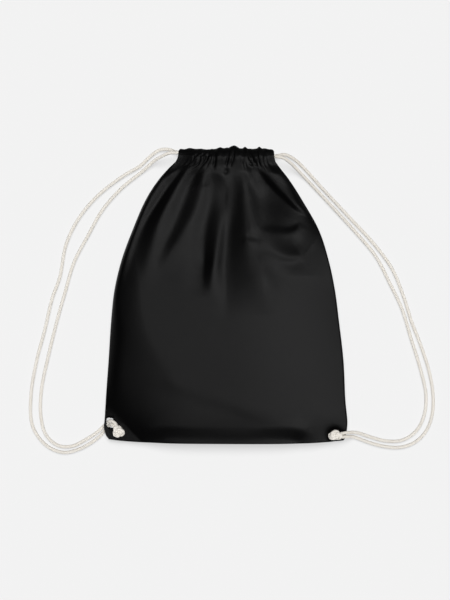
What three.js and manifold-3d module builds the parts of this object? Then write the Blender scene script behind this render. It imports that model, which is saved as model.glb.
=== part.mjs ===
// A drawstring gym bag that lies on its back with its face up and its gathered mouth towards +Y.
// Two sewn cotton panels, each with a casing folded over at the top, are drawn together by two cords
// that run through both casings and are knotted at the bottom corners.
// Millimetres, +Z up. The origin is on the floor under the middle of the bag.

import * as THREE from 'three';
import { mergeVertices } from 'three/addons/utils/BufferGeometryUtils.js';
import Module from 'manifold-3d';

const wasm = await Module();
wasm.setup();
const { clamp, lerp, smoothstep } = THREE.MathUtils;

// Stock
const CLOTH = 1.4; // wall of the sewn cotton
const GAP = 0.35; // clear space between pieces that touch
const CORD_DIAMETER = 5;
const CORD_SIDES = 8;

// Casing: the hem that is folded over at the top of each panel, and the tunnel inside it
const CASING_HEIGHT = 22;
const TUNNEL_HALF = 3.8; // from the tunnel's middle to the middle of the cloth
const CORD_PITCH = 5.6; // the two cords lie one below the other in each tunnel
const CASING_SHOULDER = CORD_PITCH + 2.9; // the tunnel narrows to the stitch line from here
const SEWN_HALF = (CLOTH + GAP) / 2; // half the distance of two sewn layers
const MOUTH_SPREAD = 20; // between the middles of the front and the back tunnel
const FRONT_TOP = 221; // fold line of the front casing
const BACK_TOP = 223.5; // the back casing stands a little higher
const FRONT_STITCH = FRONT_TOP - CASING_HEIGHT;
const BACK_STITCH = BACK_TOP - CASING_HEIGHT;
const FOLD_STEPS = 6;

// Ruffles: the gathers of the drawn casing
const RUFFLES = 10;
const RUFFLE_FRONT = { outer: 3.6, fold: 1.8, flap: 1.2, stitch: 3, run: 62 };
const RUFFLE_BACK = { outer: 2, fold: 1.6, flap: 1, stitch: 1.6, run: 34 };
const UNEVEN = { share: 0.25, turns: 7, shift: 1 }; // slow change of the ruffles along the casing
const BACK_TUNNEL_Z = CLOTH / 2 + RUFFLE_BACK.outer + TUNNEL_HALF;
const FRONT_TUNNEL_Z = BACK_TUNNEL_Z + MOUTH_SPREAD;

// Panels
const COLUMNS = RUFFLES * 4;
const FRONT_ROWS = 16;
const BACK_ROWS = 7;
const BOTTOM = -219.6; // bottom corners
const BOTTOM_BOW = 6; // the bottom edge sags by this in the middle
const BOW_REACH = 80;
const SEAM_STRIP = 6; // pressed edge where the two panels are sewn together
const SEAM_SHARE = 2 / COLUMNS; // the same at the sides, as a share of the half width
const SEAM_Z = 8;
const FRONT_SEAM_Z = SEAM_Z + SEWN_HALF;
const BACK_SEAM_Z = SEAM_Z - SEWN_HALF;
const BACK_RISE = 36; // the back leaves the floor this far inside the seam
const CROWN_LEFT = 2.2; // the left side falls away in a long slope
const CROWN_RIGHT = 4; // the right side stays full almost to its edge
const FOLD_END = 6; // the face's folds die out towards the side seams by this power
const FOLD_START = 20; // and grow to their depth over this length below the stitch line
const FOLD_LINE_STEPS = 16;

// Sections of the bag from the bottom to the casing: sides, height of the middle of the face, and
// height of the two panels' side edges, which part above the side seams.
const FRONT_SEWN_Z = FRONT_TUNNEL_Z + SEWN_HALF;
const BACK_SEWN_Z = BACK_TUNNEL_Z - SEWN_HALF;
const SECTIONS = [
  { y: BOTTOM, left: -177.5, right: 179.5, crest: FRONT_SEAM_Z, front: FRONT_SEAM_Z, back: BACK_SEAM_Z },
  { y: -212, left: -182, right: 182.5, crest: 10, front: FRONT_SEAM_Z, back: BACK_SEAM_Z },
  { y: -200, left: -185, right: 184.5, crest: 17, front: FRONT_SEAM_Z, back: BACK_SEAM_Z },
  { y: -188, left: -184, right: 185, crest: 22, front: FRONT_SEAM_Z, back: BACK_SEAM_Z },
  { y: -158, left: -182, right: 182, crest: 28, front: FRONT_SEAM_Z, back: BACK_SEAM_Z },
  { y: -97, left: -177.5, right: 179, crest: 33, front: FRONT_SEAM_Z, back: BACK_SEAM_Z },
  { y: -36, left: -173.5, right: 172, crest: 35, front: FRONT_SEAM_Z, back: BACK_SEAM_Z },
  { y: 10, left: -168.5, right: 166, crest: 35, front: FRONT_SEAM_Z, back: BACK_SEAM_Z },
  { y: 56, left: -157.5, right: 156, crest: 34, front: FRONT_SEAM_Z, back: BACK_SEAM_Z },
  { y: 101, left: -141, right: 141, crest: 32, front: FRONT_SEAM_Z, back: BACK_SEAM_Z },
  { y: 147, left: -121, right: 115, crest: 30, front: 9.3, back: BACK_SEAM_Z },
  { y: 177, left: -101, right: 95.5, crest: 28.5, front: 16, back: BACK_SEAM_Z },
  { y: FRONT_STITCH, left: -80, right: 78, crest: FRONT_SEWN_Z, front: FRONT_SEWN_Z, back: BACK_SEWN_Z },
  { y: 206, left: -73.5, right: 74.5, crest: FRONT_SEWN_Z, front: FRONT_SEWN_Z, back: BACK_SEWN_Z },
  { y: 226, left: -69.5, right: 72.5, crest: FRONT_SEWN_Z, front: FRONT_SEWN_Z, back: BACK_SEWN_Z },
];

// Folds of the face, each along a bend from, via and to a point, with its rise (a valley is negative)
// at its start, middle and end, and its reach to either side.
const FOLDS = [
  { from: [-71, 199], via: [-104, 139], to: [-129, 83], start: -6, middle: -5, end: 0, reach: 10 },
  { from: [-43, 199], via: [-62, 151], to: [-88, 67], start: -7, middle: -6, end: -1, reach: 10 },
  { from: [-16, 190], via: [-22, 132], to: [-31, 40], start: -4, middle: -5, end: -5, reach: 11 },
  { from: [1, 190], via: [1, 120], to: [1, 37], start: 2, middle: 3, end: 0, reach: 9 },
  { from: [24, 182], via: [25, 110], to: [24, 33], start: -5, middle: -5, end: -2, reach: 12 },
  { from: [75, 175], via: [96, 155], to: [121, 129], start: -5, middle: -5, end: -1, reach: 9 },
  { from: [33, 91], via: [68, 98], to: [109, 103], start: -1, middle: -4, end: -1, reach: 9 },
  { from: [40, 91], via: [75, 52], to: [114, 60], start: -1, middle: -4, end: -1, reach: 10 },
  { from: [-92, -127], via: [-50, -148], to: [7, -180], start: 0, middle: -2.5, end: 0, reach: 15 },
];

// Bottom corners: a slot on the left that both strands come up through, and a hole on the right that a
// turn of the knot holds on to
const SLOT_LEFT = { x: -175.6, y: -192.5, half: 2.9, radius: 6, turn: 1.71 };
const HOLE_RIGHT = { x: 167, y: -210.5, half: 0, radius: 3.4, turn: 0 };
const CUT = { depth: 60, below: 15, segments: 5 };

// Far turns: each cord turns from the back tunnel to the front one a little inside the casing's end,
// through notches in the flaps. The notches are open at that end.
const TURN_STEPS = 6;
const TURN_RIGHT = 57; // left cord, where its turn begins
const TURN_LEFT = 54; // right cord
const NOTCH = { length: 40, bottom: 8, top: 25, clear: 0.6 };

// Knots: turns of cord round a full core. The right one also has a turn that goes down through its hole.
const KNOT = { wrap: 4.7, pitch: 4.2, lean: 0.6, core: 6.2, coreLength: 7.8, flatten: 0.85 };
const KNOT_SEGMENTS = { core: [9, 6], turn: [6, 9], foot: [6, 4] };
const KNOT_LEFT = { x: -162.5, y: -205, z: 16.9, heading: -Math.PI / 4 };
const KNOT_RIGHT = { x: 166.5, y: -210.5, z: 16.6, heading: Math.PI };
const STEM = { radius: CORD_DIAMETER / 2, footZ: 3, flatten: 0.8 };

// Cord routes, by hand, from the knot along the outer strand, through the back casing, round the far
// end, back through the front casing and along the inner strand to the knot.
const FLOOR_CORD = CORD_DIAMETER / 2 + 0.1;
const TUNNEL_FIRST = -TUNNEL_HALF; // left cord, measured from the fold line
const TUNNEL_SECOND = -TUNNEL_HALF - CORD_PITCH; // right cord
const ROUTE_LEFT = [
  [-164.8, -202.4, 14.6], [-168, -198.2, 14.5], [-171.4, -195.6, 12.6], [-174.2, -194.7, 8.8],
  [-177, -196.3, 4.8], [-181.4, -200.8, 2.8], [-191, -212, FLOOR_CORD], [-205, -223, FLOOR_CORD],
  [-224, -233, FLOOR_CORD], [-246, -238, FLOOR_CORD], [-268, -231, FLOOR_CORD],
  [-286, -214, FLOOR_CORD], [-296, -192, FLOOR_CORD], [-297, -150, FLOOR_CORD],
  [-288, -96, FLOOR_CORD], [-276, -51, FLOOR_CORD], [-265, -4, FLOOR_CORD],
  [-253, 30, FLOOR_CORD], [-243, 81, FLOOR_CORD], [-223, 121, FLOOR_CORD],
  [-194, 155, FLOOR_CORD], [-155, 185, FLOOR_CORD], [-131, 199, FLOOR_CORD],
  [-115, 214, FLOOR_CORD], [-101, 223.5, FLOOR_CORD + 0.6], [-87, 224.5, 4.4],
  [-72, BACK_TOP + TUNNEL_FIRST, BACK_TUNNEL_Z],
  ...halfTurn(1, TURN_RIGHT, TUNNEL_FIRST),
  [-72, FRONT_TOP + TUNNEL_FIRST, FRONT_TUNNEL_Z],
  [-84, 217, 24.5], [-97, 212.5, 17], [-110, 205.5, 8.6], [-125, 192.5, 3.2],
  [-158, 166, FLOOR_CORD], [-188, 132, FLOOR_CORD], [-210, 93, FLOOR_CORD],
  [-231, 53, FLOOR_CORD], [-244, 10, FLOOR_CORD], [-257, -36, FLOOR_CORD],
  [-272, -97, FLOOR_CORD], [-281, -142, FLOOR_CORD], [-282, -182, FLOOR_CORD],
  [-274, -211, FLOOR_CORD], [-256, -227, FLOOR_CORD], [-235, -228.5, FLOOR_CORD],
  [-213, -218, FLOOR_CORD], [-196, -207, FLOOR_CORD], [-184.4, -196.2, 2.8], [-179.2, -191.2, 4.7],
  [-175.6, -189.3, 8.8], [-171.2, -189.9, 13], [-167.4, -192.6, 15.6], [-165.2, -197, 17.6],
  [-164.6, -201.4, 18.4],
];
const ROUTE_RIGHT = [
  [170.5, -211.6, 14], [176.5, -213.2, 14], [182, -213, 13.4], [187.5, -213.2, 9.6], [193, -213.6, 4.6],
  [200, -215.6, FLOOR_CORD], [220, -223, FLOOR_CORD], [244, -229, FLOOR_CORD],
  [267, -230, FLOOR_CORD], [288, -223, FLOOR_CORD], [305, -207, FLOOR_CORD],
  [315, -183, FLOOR_CORD], [317, -152, FLOOR_CORD], [311, -115, FLOOR_CORD],
  [298, -74, FLOOR_CORD], [284, -38, FLOOR_CORD], [272, 0, FLOOR_CORD],
  [254, 43, FLOOR_CORD], [227, 80, FLOOR_CORD], [190, 120, FLOOR_CORD],
  [148, 165, FLOOR_CORD], [117, 199, FLOOR_CORD], [103, 211, FLOOR_CORD + 0.6], [90, 216.5, 4.6],
  [75, BACK_TOP + TUNNEL_SECOND, BACK_TUNNEL_Z],
  ...halfTurn(-1, TURN_LEFT, TUNNEL_SECOND),
  [75, FRONT_TOP + TUNNEL_SECOND, FRONT_TUNNEL_Z],
  [87, 209.5, 24.2], [98, 203, 17.5], [110, 192.5, 8.8], [123, 179.5, 3.2],
  [162, 138, FLOOR_CORD], [197, 100, FLOOR_CORD], [229, 62, FLOOR_CORD],
  [251, 20, FLOOR_CORD], [269, -18, FLOOR_CORD], [283, -63, FLOOR_CORD],
  [298, -112, FLOOR_CORD], [306, -150, FLOOR_CORD], [303, -182, FLOOR_CORD],
  [291, -205, FLOOR_CORD], [270, -219, FLOOR_CORD], [246, -220.5, FLOOR_CORD],
  [222, -214.5, FLOOR_CORD], [203, -208.2, FLOOR_CORD], [194, -207, 4.6],
  [188.5, -207, 9.6], [182.5, -207, 13.4], [177, -207.8, 15.4], [170.5, -209.4, 18.8],
];

const COTTON_BLACK = new THREE.MeshStandardMaterial({ color: 0x17171a, roughness: 0.85, metalness: 0 });
const COTTON_NATURAL = new THREE.MeshStandardMaterial({ color: 0xe6e0d3, roughness: 0.9, metalness: 0 });

/** Half turn of a cord from the back tunnel to the front one, in past the left (-1) or right (1) end. */
function halfTurn(side, x, tunnel) {
  const radius = MOUTH_SPREAD / 2;
  const points = [];
  for (let k = 0; k <= TURN_STEPS; k += 1) {
    const share = k / TURN_STEPS;
    points.push([
      side * (x + radius * Math.sin(Math.PI * share)),
      lerp(BACK_TOP, FRONT_TOP, share) + tunnel,
      BACK_TUNNEL_Z + radius * (1 - Math.cos(Math.PI * share)),
    ]);
  }
  return points;
}

/** One column of a table at y, on a smooth curve through the table's rows. */
function column(table, name, y) {
  let k = 0;
  while (k < table.length - 2 && y > table[k + 1].y) k += 1;
  const below = table[k];
  const above = table[k + 1];
  const before = table[Math.max(k - 1, 0)];
  const after = table[Math.min(k + 2, table.length - 1)];
  const span = above.y - below.y;
  const s = clamp((y - below.y) / span, 0, 1);
  const slopeBelow = ((above[name] - before[name]) / (above.y - before.y)) * span;
  const slopeAbove = ((after[name] - below[name]) / (after.y - below.y)) * span;
  const rest = (3 - 2 * s) * s * s;
  return (
    lerp(below[name], above[name], rest) +
    slopeBelow * s * (1 - s) * (1 - s) -
    slopeAbove * s * s * (1 - s)
  );
}

/** Where a share u of the half width (-1 left, 1 right) lies on the section at y. */
function across(u, y) {
  const left = column(SECTIONS, 'left', y);
  const right = column(SECTIONS, 'right', y);
  return lerp(left, right, (u + 1) / 2);
}

/** Share of the face's full height at u: flat on the sewn strips, full in the middle. */
function crown(u) {
  const inner = Math.min(Math.abs(u) / (1 - SEAM_SHARE), 1);
  return 1 - inner ** (u < 0 ? CROWN_LEFT : CROWN_RIGHT);
}

/** Gathers of the drawn mouth at u, from 0 in a valley to 1 on a ridge, a little uneven. */
function gather(u) {
  const wave = (1 + Math.cos(Math.PI * RUFFLES * (u + 1))) / 2;
  return wave * (1 - UNEVEN.share + UNEVEN.share * Math.sin(UNEVEN.turns * u + UNEVEN.shift));
}

/** The bottom edge sags in its middle, and the rows above follow it less and less. */
function sagged(y, u) {
  const follow = 1 - clamp((y - BOTTOM) / BOW_REACH, 0, 1);
  return y - BOTTOM_BOW * (1 - Math.abs(u) ** 3) * follow;
}

const foldLines = FOLDS.map((fold) => {
  const [from, via, to] = [fold.from, fold.via, fold.to].map((point) => new THREE.Vector2(...point));
  return { ...fold, line: new THREE.SplineCurve([from, via, to]).getPoints(FOLD_LINE_STEPS) };
});

/** Sum of the folds at a point of the face: each is a smooth trough or ridge along its line. */
function foldRise(x, y) {
  const point = new THREE.Vector2(x, y);
  let rise = 0;
  for (const { line, start, middle, end, reach } of foldLines) {
    const distances = line.map((station) => station.distanceTo(point));
    const nearest = Math.min(...distances);
    const s = distances.indexOf(nearest) / (line.length - 1);
    const strength = s < 0.5 ? lerp(start, middle, 2 * s) : lerp(middle, end, 2 * s - 1);
    rise += strength * Math.exp(-((nearest / reach) ** 2));
  }
  return rise;
}

/** A point of the face between the bottom seam and the casing's stitch line. */
function facePoint(u, station) {
  const x = across(u, station);
  const y = sagged(station, u);
  const edge = column(SECTIONS, 'front', station);
  const crest = column(SECTIONS, 'crest', station);
  const inner = Math.min(Math.abs(u) / (1 - SEAM_SHARE), 1);
  const free = 1 - inner ** FOLD_END;
  const fade = clamp(1 - (FRONT_STITCH - station) / RUFFLE_FRONT.run, 0, 1) ** 2;
  const settle = smoothstep(FRONT_STITCH - station, 0, FOLD_START);
  const z = lerp(edge, crest, crown(u)) + foldRise(x, y) * free * settle;
  return new THREE.Vector3(x, y, z + RUFFLE_FRONT.stitch * gather(u) * fade);
}

/** A point of the back, which lies flat on the floor and rises to the seams and to its casing. */
function backPoint(u, station) {
  const x = across(u, station);
  const y = sagged(station, u);
  const edge = column(SECTIONS, 'back', station);
  const halfWidth = (across(1, station) - across(-1, station)) / 2;
  const fromSide = (1 - SEAM_SHARE - Math.abs(u)) * halfWidth;
  const fromBottom = station - BOTTOM - SEAM_STRIP;
  const onFloor = smoothstep(fromSide, 0, BACK_RISE) * smoothstep(fromBottom, 0, BACK_RISE);
  const toCasing = smoothstep(station, BACK_STITCH - RUFFLE_BACK.run, BACK_STITCH);
  const fade = clamp(1 - (BACK_STITCH - station) / RUFFLE_BACK.run, 0, 1) ** 2;
  const z = lerp(lerp(edge, CLOTH / 2, onFloor), BACK_SEWN_Z, toCasing);
  return new THREE.Vector3(x, y, z - RUFFLE_BACK.stitch * gather(u) * fade);
}

/** Rows of the casing above its stitch line at u: outer layer, fold and flap, as [y, outward] pairs. */
function casingProfile(u, top, ruffle) {
  const lift = gather(u);
  const middle = top - TUNNEL_HALF;
  const stitch = top - CASING_HEIGHT;
  const shoulder = middle - CASING_SHOULDER;
  const rows = [[shoulder, TUNNEL_HALF + ruffle.outer * lift]];
  for (let k = 0; k <= FOLD_STEPS; k += 1) {
    const turn = Math.PI * (0.5 - k / FOLD_STEPS);
    const outward = k / FOLD_STEPS < 0.5
      ? lerp(ruffle.outer, ruffle.fold, (2 * k) / FOLD_STEPS)
      : lerp(ruffle.fold, ruffle.flap, (2 * k) / FOLD_STEPS - 1);
    const radius = TUNNEL_HALF + outward * lift;
    rows.push([middle + radius * Math.cos(turn), radius * Math.sin(turn)]);
  }
  rows.push([shoulder, -TUNNEL_HALF - ruffle.flap * lift]);
  rows.push([stitch, -SEWN_HALF + ruffle.stitch * lift]);
  return rows;
}

/** Heights of the rows of a panel: the sewn strip, then even steps up to the stitch line. */
function stations(steps, stitch) {
  const rows = [BOTTOM];
  for (let k = 0; k <= steps; k += 1) rows.push(lerp(BOTTOM + SEAM_STRIP, stitch, k / steps));
  return rows;
}

/** Grid of the middle of a panel's cloth: rows up the panel, over the fold and down the flap. */
function panelGrid(steps, top, pointAt, ruffle, tunnelZ, outward) {
  const stitch = top - CASING_HEIGHT;
  const columns = [];
  for (let c = 0; c <= COLUMNS; c += 1) {
    const u = -1 + (2 * c) / COLUMNS;
    const panel = stations(steps, stitch).map((station) => pointAt(u, station));
    const casing = casingProfile(u, top, ruffle).map(
      ([y, out]) => new THREE.Vector3(across(u, y), y, tunnelZ + outward * out),
    );
    columns.push([...panel, ...casing]);
  }
  return columns;
}

/** A closed wall of cloth, half its thickness to either side of a grid of points. */
function clothWall(columns) {
  const width = columns.length;
  const height = columns[0].length;
  const positions = [[], []];
  for (let c = 0; c < width; c += 1) {
    for (let r = 0; r < height; r += 1) {
      const point = columns[c][r];
      const along = columns[Math.min(c + 1, width - 1)][r].clone().sub(columns[Math.max(c - 1, 0)][r]);
      const up = columns[c][Math.min(r + 1, height - 1)].clone().sub(columns[c][Math.max(r - 1, 0)]);
      const half = along.cross(up).setLength(CLOTH / 2);
      positions[0].push(...point.clone().add(half).toArray());
      positions[1].push(...point.clone().sub(half).toArray());
    }
  }
  const inner = width * height;
  const at = (c, r) => c * height + r;
  const triangles = [];
  const quad = (a, b, c, d) => triangles.push(a, b, c, a, c, d);
  for (let c = 0; c + 1 < width; c += 1) {
    for (let r = 0; r + 1 < height; r += 1) {
      const corners = [at(c, r), at(c + 1, r), at(c + 1, r + 1), at(c, r + 1)];
      quad(...corners);
      quad(...corners.map((corner) => corner + inner).reverse());
    }
  }
  const rim = (a, b) => quad(b, a, a + inner, b + inner);
  for (let c = 0; c + 1 < width; c += 1) {
    rim(at(c, 0), at(c + 1, 0));
    rim(at(c + 1, height - 1), at(c, height - 1));
  }
  for (let r = 0; r + 1 < height; r += 1) {
    rim(at(width - 1, r), at(width - 1, r + 1));
    rim(at(0, r + 1), at(0, r));
  }
  const wall = new THREE.BufferGeometry();
  wall.setAttribute('position', new THREE.Float32BufferAttribute(positions.flat(), 3));
  wall.setIndex(triangles);
  return wall;
}

/** A geometry as a solid that can be joined and cut. */
function solid(geometry) {
  const bare = geometry.clone();
  bare.deleteAttribute('normal');
  bare.deleteAttribute('uv');
  const merged = mergeVertices(bare, 1e-4);
  return new wasm.Manifold(new wasm.Mesh({
    numProp: 3,
    vertProperties: new Float32Array(merged.attributes.position.array),
    triVerts: new Uint32Array(merged.index.array),
  }));
}

/** A cut or joined solid as a geometry again. */
function shaped(body) {
  const mesh = body.getMesh();
  const geometry = new THREE.BufferGeometry();
  geometry.setAttribute('position', new THREE.Float32BufferAttribute(mesh.vertProperties, 3));
  geometry.setIndex([...mesh.triVerts]);
  geometry.computeVertexNormals();
  return geometry;
}

/** Upright cutter for a round hole or, with half above 0, a slot with round ends. */
function cutter({ x, y, half, radius, turn }) {
  const outline = new THREE.Shape();
  outline.absarc(half, 0, radius, -Math.PI / 2, Math.PI / 2, false);
  outline.absarc(-half, 0, radius, Math.PI / 2, (3 * Math.PI) / 2, false);
  const options = { depth: CUT.depth, bevelEnabled: false, curveSegments: CUT.segments };
  const prism = new THREE.ExtrudeGeometry(outline, options);
  prism.rotateZ(turn).translate(x, y, -CUT.below);
  return solid(prism);
}

/** Cutter for the notches that a half turn passes through, in the flaps of both casings. */
function notchCutter(side, x, tunnel) {
  const reach = CORD_DIAMETER / 2 + NOTCH.clear;
  const low = FRONT_TOP + tunnel - reach;
  const high = BACK_TOP + tunnel + reach;
  const block = new THREE.BoxGeometry(NOTCH.length, high - low, NOTCH.top - NOTCH.bottom);
  block.translate(side * (x + NOTCH.length / 2), (low + high) / 2, (NOTCH.bottom + NOTCH.top) / 2);
  return solid(block);
}

/** Overhand knot: three turns of cord leaning across each other round a full middle, grown by margin. */
function knotSolid({ x, y, z, heading }, margin) {
  const core = new THREE.SphereGeometry(1, ...KNOT_SEGMENTS.core);
  core.scale(KNOT.coreLength + margin, KNOT.core + margin, KNOT.core + margin);
  let body = solid(core);
  for (const side of [-1, 0, 1]) {
    const turn = new THREE.TorusGeometry(KNOT.wrap, CORD_DIAMETER / 2 + margin, ...KNOT_SEGMENTS.turn);
    turn.rotateY(Math.PI / 2).rotateZ(side * KNOT.lean).translate(side * KNOT.pitch, 0, 0);
    body = body.add(solid(turn));
  }
  const placed = shaped(body);
  placed.scale(1, 1, KNOT.flatten).rotateZ(heading).translate(x, y, z);
  return solid(placed);
}

/** The turn of the right knot that goes down through the corner's hole, with a round foot below it. */
function stemSolid({ x, y }, top) {
  const foot = new THREE.SphereGeometry(HOLE_RIGHT.radius - GAP, ...KNOT_SEGMENTS.foot);
  foot.scale(1, 1, STEM.flatten).translate(x, y, STEM.footZ);
  const post = new THREE.CylinderGeometry(STEM.radius, STEM.radius, top - STEM.footZ, CORD_SIDES);
  post.rotateX(Math.PI / 2).translate(x, y, (top + STEM.footZ) / 2);
  return solid(post).add(solid(foot));
}

/** A smooth line with a station at each of its own points, so that bends may have shorter steps. */
class CordLine extends THREE.CatmullRomCurve3 {
  getPointAt(share, target) {
    return this.getPoint(share, target);
  }
  getTangentAt(share, target) {
    return this.getTangent(share, target);
  }
}

/** A round cord along its route, ending at the face of its knot. */
function cordSolid(route, knot) {
  const line = new CordLine(route.map((point) => new THREE.Vector3(...point)), false, 'centripetal');
  const section = new THREE.Shape();
  for (let k = 0; k < CORD_SIDES; k += 1) {
    const turn = (2 * Math.PI * (k + 0.5)) / CORD_SIDES;
    const corner = [Math.cos(turn), Math.sin(turn)].map((share) => (share * CORD_DIAMETER) / 2);
    if (k === 0) section.moveTo(...corner);
    else section.lineTo(...corner);
  }
  const tube = new THREE.ExtrudeGeometry(section, { steps: route.length - 1, extrudePath: line });
  return solid(tube).subtract(knotSolid(knot, GAP));
}

/** A named piece of the bag. */
function piece(name, geometry, material) {
  const mesh = new THREE.Mesh(geometry, material);
  mesh.name = name;
  return mesh;
}

const corners = cutter(SLOT_LEFT).add(cutter(HOLE_RIGHT));
const notches = notchCutter(1, TURN_RIGHT, TUNNEL_FIRST).add(notchCutter(-1, TURN_LEFT, TUNNEL_SECOND));
const cuts = corners.add(notches);
const front = panelGrid(FRONT_ROWS, FRONT_TOP, facePoint, RUFFLE_FRONT, FRONT_TUNNEL_Z, 1);
const back = panelGrid(BACK_ROWS, BACK_TOP, backPoint, RUFFLE_BACK, BACK_TUNNEL_Z, -1);
const knotRight = knotSolid(KNOT_RIGHT, 0).add(stemSolid(HOLE_RIGHT, KNOT_RIGHT.z));

const bag = new THREE.Group();
bag.name = 'drawstring_gym_bag';
bag.add(
  piece('back_panel', shaped(solid(clothWall(back)).subtract(cuts)), COTTON_BLACK),
  piece('front_panel', shaped(solid(clothWall(front)).subtract(cuts)), COTTON_BLACK),
  piece('cord_left', shaped(cordSolid(ROUTE_LEFT, KNOT_LEFT)), COTTON_NATURAL),
  piece('cord_right', shaped(cordSolid(ROUTE_RIGHT, KNOT_RIGHT)), COTTON_NATURAL),
  piece('knot_left', shaped(knotSolid(KNOT_LEFT, 0)), COTTON_NATURAL),
  piece('knot_right', shaped(knotRight), COTTON_NATURAL),
);

export default bag;
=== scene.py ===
import bpy
import numpy as np
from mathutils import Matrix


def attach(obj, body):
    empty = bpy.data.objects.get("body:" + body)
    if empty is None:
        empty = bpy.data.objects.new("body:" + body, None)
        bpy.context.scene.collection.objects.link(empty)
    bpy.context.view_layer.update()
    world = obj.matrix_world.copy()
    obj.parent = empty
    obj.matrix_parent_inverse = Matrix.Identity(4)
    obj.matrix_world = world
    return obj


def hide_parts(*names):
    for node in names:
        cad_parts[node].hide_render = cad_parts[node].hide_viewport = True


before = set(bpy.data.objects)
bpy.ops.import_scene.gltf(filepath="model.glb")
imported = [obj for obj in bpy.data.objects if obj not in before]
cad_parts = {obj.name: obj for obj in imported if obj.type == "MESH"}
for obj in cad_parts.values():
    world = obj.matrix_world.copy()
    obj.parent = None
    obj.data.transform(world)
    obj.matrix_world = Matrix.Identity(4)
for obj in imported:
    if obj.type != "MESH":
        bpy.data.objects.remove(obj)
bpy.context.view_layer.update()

# Camera, floor and light. The bag lies on a plain pale floor and is looked at from straight above. Two
# wide soft lamps light everything but the floor, which has a lamp and a faint glow of its own, another
# lights the cords and knots alone, and the sky is brighter near the horizon.
VIEW_MIDDLE = (-0.0008, -0.0053)
VIEW_HEIGHT = 0.9138
EYE_HEIGHT = 2.2
RIM_HEIGHT = 0.008
SENSOR = 36.0
WHITE = (1.0, 1.0, 1.0, 1.0)
KEY_TURNS = (np.radians((2.0, 6.0, 0.0)), np.radians((2.0, 29.0, 0.0)))
KEY_SPREAD = np.radians(28.0)
KEY_POWER = 1.5
SKY_POWER = 0.03
HORIZON_POWER = 0.24
HORIZON_REACH = 0.50
FLOOR_SIZE = 6.0
FLOOR_HEIGHT = -0.0004
FLOOR_SHADE = 0.12
FLOOR_GLOW = 0.60
FLOOR_LAMP_TURN = (np.radians(-25.0), 0.0, 0.0)
FLOOR_LAMP_SPREAD = np.radians(40.0)
FLOOR_LAMP_POWER = 8.2
CORD_LAMP_TURN = (0.0, np.radians(-55.0), 0.0)
CORD_LAMP_SPREAD = np.radians(60.0)
CORD_LAMP_POWER = 1.2

scene = bpy.context.scene
scene.view_settings.view_transform = "Standard"

camera_data = bpy.data.cameras.new("camera")
camera_data.sensor_width = SENSOR
camera_data.lens = SENSOR * (EYE_HEIGHT - RIM_HEIGHT) / VIEW_HEIGHT
camera = bpy.data.objects.new("camera", camera_data)
camera.location = (*VIEW_MIDDLE, EYE_HEIGHT)
scene.collection.objects.link(camera)
scene.camera = camera


def new_lamp(name, turn, spread, power):
    """A far lamp that is seen as a disc of the given spread."""
    lamp_data = bpy.data.lights.new(name, "SUN")
    lamp_data.energy = power
    lamp_data.angle = spread
    lamp = bpy.data.objects.new(name, lamp_data)
    lamp.rotation_euler = turn
    scene.collection.objects.link(lamp)
    return lamp


keys = [new_lamp("key", turn, KEY_SPREAD, KEY_POWER) for turn in KEY_TURNS]
sky = bpy.data.worlds.new("sky")
sky.use_nodes = True
nodes, links = sky.node_tree.nodes, sky.node_tree.links
sight = nodes.new("ShaderNodeNewGeometry")
steepness = nodes.new("ShaderNodeSeparateXYZ")
strength = nodes.new("ShaderNodeMapRange")
strength.inputs["From Min"].default_value = -HORIZON_REACH
strength.inputs["From Max"].default_value = 0.0
strength.inputs["To Min"].default_value = SKY_POWER
strength.inputs["To Max"].default_value = HORIZON_POWER
links.new(sight.outputs["Incoming"], steepness.inputs["Vector"])
links.new(steepness.outputs["Z"], strength.inputs["Value"])
links.new(strength.outputs["Result"], nodes["Background"].inputs["Strength"])
nodes["Background"].inputs["Color"].default_value = WHITE
scene.world = sky


def new_object(name, points, faces):
    """A mesh object of the given points and faces, smooth shaded, at the origin."""
    mesh = bpy.data.meshes.new(name)
    mesh.from_pydata(np.reshape(points, (-1, 3)).tolist(), [], faces)
    mesh.shade_smooth()
    made = bpy.data.objects.new(name, mesh)
    scene.collection.objects.link(made)
    return made


def new_finish(name):
    """A node material, with its nodes, its links and its main shader."""
    material = bpy.data.materials.new(name)
    material.use_nodes = True
    tree = material.node_tree
    return material, tree.nodes, tree.links, tree.nodes["Principled BSDF"]


corner = FLOOR_SIZE / 2
floor_outline = ((-corner, -corner), (corner, -corner), (corner, corner), (-corner, corner))
floor = new_object("floor", [(x, y, FLOOR_HEIGHT) for x, y in floor_outline], [(0, 1, 2, 3)])
pale_sweep, nodes, links, shader = new_finish("pale_sweep")
shader.inputs["Base Color"].default_value = (FLOOR_SHADE, FLOOR_SHADE, FLOOR_SHADE, 1.0)
shader.inputs["Roughness"].default_value = 1.0
shader.inputs["Specular IOR Level"].default_value = 0.0
shader.inputs["Emission Color"].default_value = WHITE
shader.inputs["Emission Strength"].default_value = FLOOR_GLOW
floor.data.materials.append(pale_sweep)
floor.visible_glossy = False

floor_lamp = new_lamp("floor_lamp", FLOOR_LAMP_TURN, FLOOR_LAMP_SPREAD, FLOOR_LAMP_POWER)
cord_lamp = new_lamp("cord_lamp", CORD_LAMP_TURN, CORD_LAMP_SPREAD, CORD_LAMP_POWER)


def link_light(lamp, things, state):
    """Makes a lamp light the given things alone, or everything but them."""
    lit = bpy.data.collections.new(lamp.name + "_lights")
    for thing in things:
        lit.objects.link(thing)
    for entry in lit.collection_objects:
        entry.light_linking.link_state = state
    lamp.light_linking.receiver_collection = lit


link_light(floor_lamp, [floor], "INCLUDE")
for key in keys:
    link_light(key, [floor], "EXCLUDE")

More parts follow.
